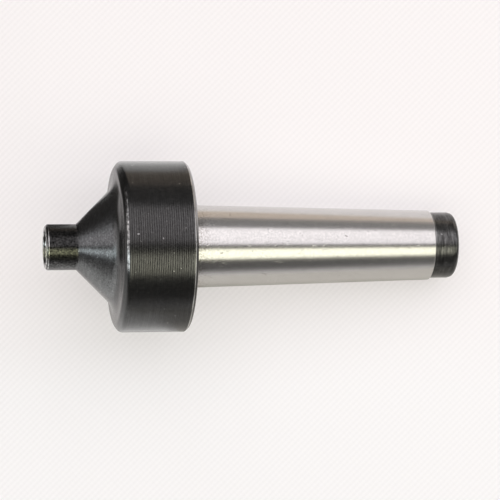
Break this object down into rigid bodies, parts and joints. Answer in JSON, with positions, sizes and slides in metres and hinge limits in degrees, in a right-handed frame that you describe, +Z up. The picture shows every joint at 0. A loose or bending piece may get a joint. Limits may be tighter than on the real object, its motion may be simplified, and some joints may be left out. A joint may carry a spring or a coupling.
{
  "type": "live center",
  "caption": "Live center for a lathe tailstock: hollow-nosed black steel head with a cone and drum, turning on ball bearings about a ground taper shank.",
  "frame": {"origin": "on the axis of rotation, in the plane where the Morse taper has its full diameter, which is also the rear face of the drum", "axes": "+X along the axis from the shank towards the nose, +Z up"},
  "size_m": [0.0903, 0.037, 0.037],
  "materials": {
    "black_oxide_steel": "turned and black oxide coated, satin",
    "ground_steel": "ground bright, with a turned and blackened tail",
    "bearing_steel": "ground bright",
    "ball_steel": "polished",
    "pressed_steel": "pressed sheet, satin",
    "spring_steel": "blackened and oiled"
  },
  "bodies": {
    "arbor": {"arbor": "ground_steel", "rear_inner_race": "bearing_steel", "front_inner_race": "bearing_steel", "bearing_spacer": "pressed_steel", "spindle_circlip": "spring_steel"},
    "head": {"head": "black_oxide_steel", "rear_outer_race": "bearing_steel", "rear_shield_tail_side": "pressed_steel", "rear_shield_nose_side": "pressed_steel", "front_outer_race": "bearing_steel", "front_shield_tail_side": "pressed_steel", "front_shield_nose_side": "pressed_steel", "wave_washer": "spring_steel", "head_circlip": "spring_steel"},
    "rear_ball_set": {"rear_cage": "pressed_steel", "rear_ball_1": "ball_steel", "rear_ball_2": "ball_steel", "rear_ball_3": "ball_steel", "rear_ball_4": "ball_steel", "rear_ball_5": "ball_steel", "rear_ball_6": "ball_steel", "rear_ball_7": "ball_steel", "rear_ball_8": "ball_steel", "rear_ball_9": "ball_steel"},
    "front_ball_set": {"front_cage": "pressed_steel", "front_ball_1": "ball_steel", "front_ball_2": "ball_steel", "front_ball_3": "ball_steel", "front_ball_4": "ball_steel", "front_ball_5": "ball_steel", "front_ball_6": "ball_steel", "front_ball_7": "ball_steel", "front_ball_8": "ball_steel", "front_ball_9": "ball_steel", "front_ball_10": "ball_steel"}
  },
  "joints": [
    {"name": "head_spin", "type": "hinge", "parent": "arbor", "child": "head", "pos_m": [0, 0, 0], "axis": [1, 0, 0], "continuous": true},
    {"name": "rear_cage_spin", "type": "hinge", "parent": "arbor", "child": "rear_ball_set", "pos_m": [0, 0, 0], "axis": [1, 0, 0], "continuous": true},
    {"name": "front_cage_spin", "type": "hinge", "parent": "arbor", "child": "front_ball_set", "pos_m": [0, 0, 0], "axis": [1, 0, 0], "continuous": true}
  ],
  "couplings": [
    {"joint": "rear_cage_spin", "follows": "head_spin", "ratio": 0.60128},
    {"joint": "front_cage_spin", "follows": "head_spin", "ratio": 0.58207}
  ]
}
